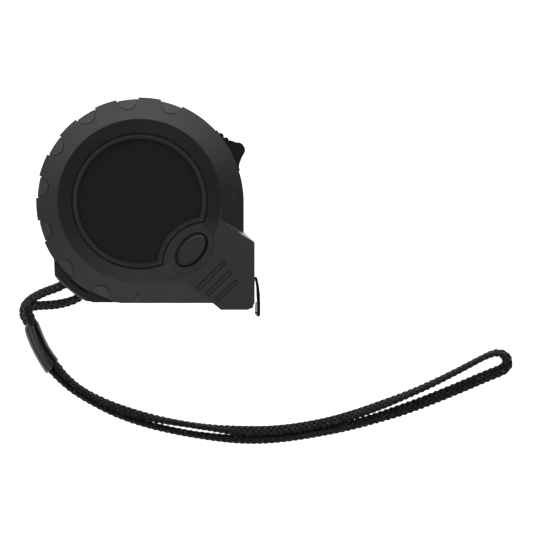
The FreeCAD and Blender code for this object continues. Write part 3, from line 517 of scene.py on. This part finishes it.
def leans(points):
    """The braid's lean at each point, carried over from the route's nearest stretch."""
    corners = [at(x, y, z) for x, y, z, _ in STRAP]
    marks, start = [], 0
    for corner in corners:
        reach = min(len(points), start + len(points) // 6)
        nearest = min(range(start, reach), key=lambda i: (points[i] - corner).length)
        marks.append(nearest)
        start = nearest
    made = []
    for i in range(len(points)):
        k = max(j for j, mark in enumerate(marks) if mark <= i or j == 0)
        if k == len(marks) - 1:
            made.append(math.radians(STRAP[-1][3]))
            continue
        span = max(1, marks[k + 1] - marks[k])
        share = min(1.0, max(0.0, (i - marks[k]) / span))
        share = share * share * (3 - 2 * share)
        made.append(math.radians(STRAP[k][3] * (1 - share) + STRAP[k + 1][3] * share))
    return made


def pinch(point):
    """How much of its full size the braid keeps: it is squeezed inside the ferrule."""
    axis = FERRULE_END - FERRULE_TOP
    share = (point - FERRULE_TOP).dot(axis) / axis.length_squared
    away = (point - FERRULE_TOP - axis * share).length
    depth = min(share, 1 - share) * axis.length
    if away > SQUEEZE_REACH or depth < 0:
        return 1.0
    return 1.0 - SQUEEZE * min(1.0, depth / SQUEEZE_RUN)


def braid_frames(points):
    """Centre, wide axis, thin axis and size at each point of the line."""
    frames = []
    for i, (point, lean) in enumerate(zip(points, leans(points))):
        tangent = (points[min(i + 1, len(points) - 1)] - points[max(i - 1, 0)]).normalized()
        side = tangent.cross(Vector((0, 0, 1))).normalized()
        up = side.cross(tangent)
        wide, thin = (half + WEAVE for half in BRAID_HALF)
        lift = math.hypot(wide * math.sin(lean), thin * math.cos(lean)) + 0.06 * MM - point.z
        point = point + Vector((0, 0, max(0.0, lift)))
        frames.append((point, side * math.cos(lean) + up * math.sin(lean),
                       up * math.cos(lean) - side * math.sin(lean), pinch(point)))
    return frames


def sweep(rings):
    """Vertices and faces of a closed tube through equal rings of points."""
    count = len(rings[0])
    vertices = [point for ring in rings for point in ring]
    faces = []
    for i in range(len(rings) - 1):
        for k in range(count):
            a, b = i * count + k, i * count + (k + 1) % count
            faces.append((a, a + count, b + count, b))
    faces.append(tuple(range(count)))
    faces.append(tuple(reversed(range(len(vertices) - count, len(vertices)))))
    return vertices, faces


def mesh_object(name, vertices, faces, material, smooth=True):
    mesh = bpy.data.meshes.new(name)
    mesh.from_pydata([tuple(v) for v in vertices], [], faces)
    mesh.update()
    mesh.materials.append(material)
    mesh.polygons.foreach_set("use_smooth", [smooth] * len(mesh.polygons))
    made = bpy.data.objects.new(name, mesh)
    bpy.context.scene.collection.objects.link(made)
    return made


def braid(points, material):
    """Eight plaits, four each way round a flattened core, passing over and under."""
    plaits, pitch, yarn, sides = 8, 0.0084, 0.0005, 8
    wide, thin = BRAID_HALF
    frames = braid_frames(points)
    total = lengths(points)
    vertices, faces = [], []
    for n in range(plaits):
        way = 1 if n % 2 == 0 else -1
        phase = 2 * math.pi * (n // 2) / (plaits // 2) + (0.0 if way > 0 else math.pi / plaits)
        centres = []
        for (centre, across, over, size), run in zip(frames, total):
            turn = phase + way * 2 * math.pi * run / pitch
            weave = WEAVE * way * math.cos(plaits / 2 * turn)
            a, b = wide - yarn + weave, thin - yarn + weave
            centres.append(centre + across * (size * a * math.cos(turn)) + over * (size * b * math.sin(turn)))
        rings = []
        for i, (centre, _, _, size) in enumerate(frames):
            ahead = (centres[min(i + 1, len(centres) - 1)] - centres[max(i - 1, 0)]).normalized()
            out = (centres[i] - centre).normalized()
            out = (out - ahead * out.dot(ahead)).normalized()
            side = ahead.cross(out)
            ring = []
            for k in range(sides):
                t = 2 * math.pi * k / sides
                ring.append(centres[i] + side * (size * yarn * 1.25 * math.cos(t))
                            + out * (size * yarn * math.sin(t)))
            rings.append(ring)
        made, joined = sweep(rings)
        base = len(vertices)
        vertices += made
        faces += [tuple(base + v for v in face) for face in joined]
    return mesh_object("wrist_cord", vertices, faces, material)


def cord_core(points, material):
    """The braid's core, so that no light passes between the plaits."""
    wide, thin = (half - CORE_INSET for half in BRAID_HALF)
    rings = [[centre + across * (size * wide * math.cos(t)) + over * (size * thin * math.sin(t))
              for t in (2 * math.pi * k / 12 for k in range(12))]
             for centre, across, over, size in braid_frames(points)]
    return mesh_object("wrist_cord_core", *sweep(rings), material)


# Outline across the ferrule, in millimetres: sideways and up.
FERRULE_SECTION = [
    (-2.9, -0.1), (-2.65, 1.1), (-2.0, 1.85), (-1.2, 2.15), (-0.4, 2.05), (0.35, 1.8), (1.1, 1.45),
    (1.9, 0.9), (2.55, 0.2), (2.8, -0.5), (2.4, -1.3), (1.4, -1.75), (0.2, -1.5), (-1.2, -1.9), (-2.3, -1.4)
]
# Share of the length, size of the outline there and the crest's sideways place.
FERRULE_STATIONS = [
    (-0.02, 0.45, 0.3), (-0.005, 0.72, 0.3), (0.03, 0.9, 0.28), (0.08, 1.0, 0.22), (0.2, 1.04, 0.15),
    (0.4, 1.05, 0.0), (0.6, 1.06, -0.1), (0.8, 1.08, -0.25), (0.95, 1.1, -0.4), (0.985, 1.06, -0.4),
    (1.0, 0.98, -0.4)
]
# Sideways bow at the middle and how far the lower end is cut on a slant.
FERRULE_BOW = -0.0009
FERRULE_SLANT = 0.0012


def ferrule(material):
    """A sleeve pinched round the two ends: two barrels with a sharp crest between them."""
    axis = FERRULE_END - FERRULE_TOP
    along = axis.normalized()
    side = Vector((0, 0, 1)).cross(along).normalized()
    up = along.cross(side)
    rings = []
    for share, size, shift in FERRULE_STATIONS:
        slant = FERRULE_SLANT * max(0.0, share - 0.6) / 0.4
        bow = 4 * share * (1 - share) * FERRULE_BOW
        ring = []
        for across, height in smooth_ring(FERRULE_SECTION, 5):
            place = FERRULE_TOP + axis * share + along * (slant * -across / 2.9) + side * bow
            crest = max(0.0, 1.0 - abs(across - shift) / 0.55) * 0.45 if height > 0 else 0.0
            ring.append(place + side * (across * size * MM) + up * ((height + crest) * size * MM))
        rings.append(ring)
    return mesh_object("strap_sleeve", *sweep(rings), material)


def smooth_ring(corners, steps):
    """A closed smooth line through the corners (a Catmull-Rom ring)."""
    made = []
    count = len(corners)
    for i in range(count):
        a, b, c, d = (corners[(i + k) % count] for k in (-1, 0, 1, 2))
        for step in range(steps):
            t = step / steps
            made.append(tuple(0.5 * (2 * b[n] + (c[n] - a[n]) * t
                                     + (2 * a[n] - 5 * b[n] + 4 * c[n] - d[n]) * t * t
                                     + (3 * b[n] - a[n] - 3 * c[n] + d[n]) * t ** 3) for n in (0, 1)))
    return made


def hook_hole_shades(material):
    """Dark plugs in the small holes in the hook's side wings: painted shade standing in for the shade inside
    the holes.
    """
    low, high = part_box("end_hook")
    for name, top in (("hook_pin_front", high.z - 0.1 * MM), ("hook_pin_rear", low.z + 0.6 * MM)):
        middle = at(*WING_HOLE, 0)
        rings = []
        for z in (top - 0.5 * MM, top):
            turns = [2 * math.pi * k / 16 for k in range(16)]
            rings.append([Vector((middle.x + SHADE_PLUG_RADIUS * MM * math.cos(t),
                                  middle.y + SHADE_PLUG_RADIUS * MM * math.sin(t), z)) for t in turns])
        shade_plug = mesh_object(name, *sweep(rings), material, smooth=False)
        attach(shade_plug, "hook")


def lay_strap():
    line = evenly(spline_points(), BRAID_STEP)
    material = cord_nylon()
    cord = braid(line, material)
    core = cord_core(evenly(line, CORE_STEP), material)
    sleeve = ferrule(ferrule_pvc())
    for piece in (cord, core, sleeve):
        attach(piece, "case")
    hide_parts("strap_cord")
    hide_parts("strap_ferrule")
    [tuple(point) for point in evenly(line, PATH_STEP)]


# ------------------------------------------------------------------ floor, light and camera

# Brightness of the surrounding panels by bearing in degrees, from +X round by +Y.
PANELS = [
    (0, 0.04), (22, 0.14), (45, 0.72), (90, 1.15), (135, 0.72), (180, 0.23), (225, 0.42), (262, 0.5),
    (300, 0.4), (335, 0.08), (360, 0.04)
]
# Brightness by the sine of the height above the horizon.
BELT = [(0.0, 0.8), (0.2, 1.0), (0.5, 0.9), (0.64, 0.14), (0.85, 0.0)]
OVERHEAD = [(0.6, 0.0), (0.85, 0.35), (1.0, 0.8)]
# Gain of the overhead light towards the nose, by how far a direction points along +X.
NOSE_GAIN = [(0.0, 1.0), (0.4, 1.0), (0.65, 2.4)]
SKY_GAIN = 1.0
FLOOR_GLOW = 1.0
FLOOR_HALF = 3.0


def sky():
    """Surroundings: panels near the horizon, brightest beyond the top of the case and
    dark beyond its nose, a dim belt above them and a soft light overhead."""
    world = bpy.data.worlds.new("surround")
    bpy.context.scene.world = world
    world.use_nodes = True
    tree = world.node_tree
    axes = coordinates(tree, "Generated")
    turn = math_node(tree, "ARCTAN2", axes["Y"], axes["X"])
    rounds = math_node(tree, "DIVIDE", turn, 2 * math.pi)
    share = math_node(tree, "FRACT", math_node(tree, "ADD", rounds, 1.0))
    around = ramp(tree, share, [(degrees / 360, bright) for degrees, bright in PANELS])
    belt = ramp(tree, axes["Z"], BELT)
    gain = ramp(tree, axes["X"], NOSE_GAIN)
    overhead = math_node(tree, "MULTIPLY", ramp(tree, axes["Z"], OVERHEAD), gain)
    beside = math_node(tree, "MULTIPLY", math_node(tree, "MULTIPLY", around, belt), 2.0)
    light = math_node(tree, "ADD", beside, overhead)
    tree.links.new(light, tree.nodes["Background"].inputs["Color"])
    tree.nodes["Background"].inputs["Strength"].default_value = SKY_GAIN


def floor():
    half = FLOOR_HALF
    corners = [(-half, -half, 0), (half, -half, 0), (half, half, 0), (-half, half, 0)]
    material, tree, shader = new_material("white_paper")
    shader.inputs["Base Color"].default_value = (0.94, 0.94, 0.94, 1)
    shader.inputs["Roughness"].default_value = 0.9
    shader.inputs["Specular IOR Level"].default_value = 0.0
    shader.inputs["Emission Color"].default_value = (1, 1, 1, 1)
    shader.inputs["Emission Strength"].default_value = FLOOR_GLOW
    sheet = mesh_object("floor", corners, [(0, 1, 2, 3)], material, smooth=False)


def camera():
    lens = bpy.data.cameras.new("camera")
    lens.sensor_width = 36.0
    # Distance of the lens, height of the case's face and width of the view there, all mm.
    distance, face, across = 1600.0, 37.0, 187.4
    lens.lens = lens.sensor_width * (distance - face) / across
    lens.clip_end = 20.0
    made = bpy.data.objects.new("camera", lens)
    bpy.context.scene.collection.objects.link(made)
    made.location = at(45.2, -23.9, distance)
    bpy.context.scene.camera = made


dress_cad()
# Painted shade: dark plugs fill the holes in the hook's wings.
hook_hole_shades(bpy.data.materials["lock_plastic"])
lay_strap()
floor()
sky()
camera()

view = bpy.context.scene.view_settings
view.view_transform = "Standard"
